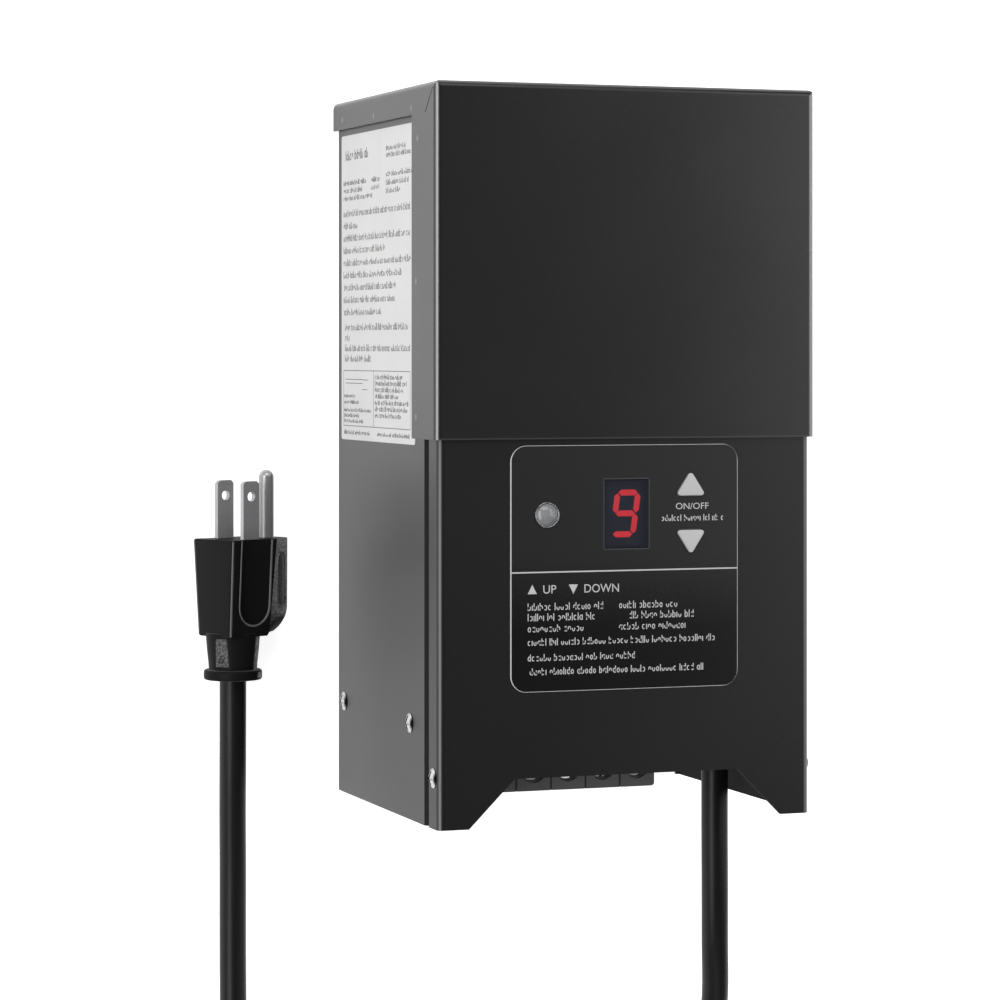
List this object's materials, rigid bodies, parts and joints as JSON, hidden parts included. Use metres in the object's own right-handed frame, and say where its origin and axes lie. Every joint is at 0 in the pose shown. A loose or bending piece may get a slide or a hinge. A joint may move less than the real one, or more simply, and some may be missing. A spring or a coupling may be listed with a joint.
{
  "type": "low voltage landscape transformer",
  "caption": "Outdoor low voltage power unit: folded steel housing with hood, control window with display and buttons, photocell, screw terminals and mains cord.",
  "frame": {"origin": "the middle of the back panel, at the middle of the height, on the plane that the unit lies on", "axes": "+X to the right seen from the front, +Y towards the hood's top, +Z out of the front face. The unit lies on its back with its cord laid out on the same plane."},
  "size_m": [0.17, 0.4376, 0.1035],
  "materials": {
    "black_painted_steel": "satin black powder coat on folded sheet",
    "zinc": "zinc plated steel",
    "label_film": "off-white printed film",
    "overlay_film": "black polyester film",
    "tinted_window": "dark blue tinted window",
    "display_black": "dark display body",
    "lit_red": "lit red segment",
    "smoked_lens": "grey translucent lens",
    "bright_ring": "bright plated ring",
    "sensor_ceramic": "sensor disc on two leads",
    "button_grey": "light grey button cap",
    "black_moulding": "black moulded plastic",
    "board_green": "solder masked board",
    "relay_blue": "blue relay case",
    "capacitor_sleeve": "sleeved can",
    "header_nylon": "natural nylon",
    "brass_plate": "brass",
    "receptacle_red": "red insulated receptacle",
    "core_steel": "varnished electrical steel",
    "protector_can": "pressed metal can",
    "ground_green": "green earth screw",
    "cord_jacket": "black cord jacket",
    "lead_insulation": "insulated hook-up wire",
    "plated_blade": "nickel plated brass"
  },
  "bodies": {
    "root": {"housing_body": "black_painted_steel", "hood": "black_painted_steel", "front_panel": "black_painted_steel", "shelf": "black_painted_steel", "shelf_screws": "zinc", "front_panel_screws": "zinc", "rating_label": "label_film", "control_overlay": "overlay_film", "display_window": "tinted_window", "display_module": "display_black", "digit_segments": "lit_red", "photocell_lens": "smoked_lens", "photocell_bezel": "bright_ring", "photocell_sensor": "sensor_ceramic", "switch_bodies": "black_moulding", "controller_board": "board_green", "board_standoffs": "zinc", "board_screws": "zinc", "relay": "relay_blue", "capacitors": "capacitor_sleeve", "board_header": "header_nylon", "controller_chip": "capacitor_sleeve", "terminal_block": "black_moulding", "block_screws": "zinc", "conductor_plates": "brass_plate", "tab_receptacles": "receptacle_red", "laminated_core": "core_steel", "bobbin": "header_nylon", "primary_winding": "brass_plate", "secondary_winding": "brass_plate", "thermal_protector": "protector_can", "core_studs": "zinc", "core_spacers": "zinc", "core_nuts": "zinc", "core_washers": "zinc", "ground_screw": "ground_green", "ground_lug": "brass_plate", "strain_relief": "black_moulding", "cord_tail": "cord_jacket", "mains_leads": "lead_insulation", "secondary_leads": "lead_insulation", "control_leads": "lead_insulation", "cord_run_out": "cord_jacket", "cord_coil": "cord_jacket", "cord_run_plug": "cord_jacket", "plug_body": "cord_jacket", "plug_blades": "plated_blade", "plug_ground_pin": "plated_blade"},
    "up_button": {"up_button": "button_grey", "up_plunger": "black_moulding"},
    "down_button": {"down_button": "button_grey", "down_plunger": "black_moulding"},
    "clamp_1": {"clamp_plate_1": "zinc"},
    "screw_1": {"terminal_screw_1": "zinc"},
    "clamp_2": {"clamp_plate_2": "zinc"},
    "screw_2": {"terminal_screw_2": "zinc"},
    "clamp_3": {"clamp_plate_3": "zinc"},
    "screw_3": {"terminal_screw_3": "zinc"},
    "clamp_4": {"clamp_plate_4": "zinc"},
    "screw_4": {"terminal_screw_4": "zinc"}
  },
  "joints": [
    {"name": "up_button_press", "type": "slide", "parent": "root", "child": "up_button", "axis": [0, 0, -1], "range_m": [0, 0.0005], "stiffness_N_per_m": 2000, "springref_m": -0.0004},
    {"name": "down_button_press", "type": "slide", "parent": "root", "child": "down_button", "axis": [0, 0, -1], "range_m": [0, 0.0005], "stiffness_N_per_m": 2000, "springref_m": -0.0004},
    {"name": "clamp_1_travel", "type": "slide", "parent": "root", "child": "clamp_1", "axis": [0, 0, 1], "range_m": [0, 0.0028]},
    {"name": "screw_1_turn", "type": "hinge", "parent": "clamp_1", "child": "screw_1", "pos_m": [-0.0218, -0.0959, 0.0759], "axis": [0, 0, 1], "range_deg": [0, 1440]},
    {"name": "clamp_2_travel", "type": "slide", "parent": "root", "child": "clamp_2", "axis": [0, 0, 1], "range_m": [0, 0.0028]},
    {"name": "screw_2_turn", "type": "hinge", "parent": "clamp_2", "child": "screw_2", "pos_m": [-0.0106, -0.0959, 0.0759], "axis": [0, 0, 1], "range_deg": [0, 1440]},
    {"name": "clamp_3_travel", "type": "slide", "parent": "root", "child": "clamp_3", "axis": [0, 0, 1], "range_m": [0, 0.0028]},
    {"name": "screw_3_turn", "type": "hinge", "parent": "clamp_3", "child": "screw_3", "pos_m": [0.0006, -0.0959, 0.0759], "axis": [0, 0, 1], "range_deg": [0, 1440]},
    {"name": "clamp_4_travel", "type": "slide", "parent": "root", "child": "clamp_4", "axis": [0, 0, 1], "range_m": [0, 0.0028]},
    {"name": "screw_4_turn", "type": "hinge", "parent": "clamp_4", "child": "screw_4", "pos_m": [0.0118, -0.0959, 0.0759], "axis": [0, 0, 1], "range_deg": [0, 1440]}
  ],
  "couplings": [
    {"joint": "screw_1_turn", "follows": "clamp_1_travel", "rad_per_m": 8975.9},
    {"joint": "screw_2_turn", "follows": "clamp_2_travel", "rad_per_m": 8975.9},
    {"joint": "screw_3_turn", "follows": "clamp_3_travel", "rad_per_m": 8975.9},
    {"joint": "screw_4_turn", "follows": "clamp_4_travel", "rad_per_m": 8975.9}
  ]
}
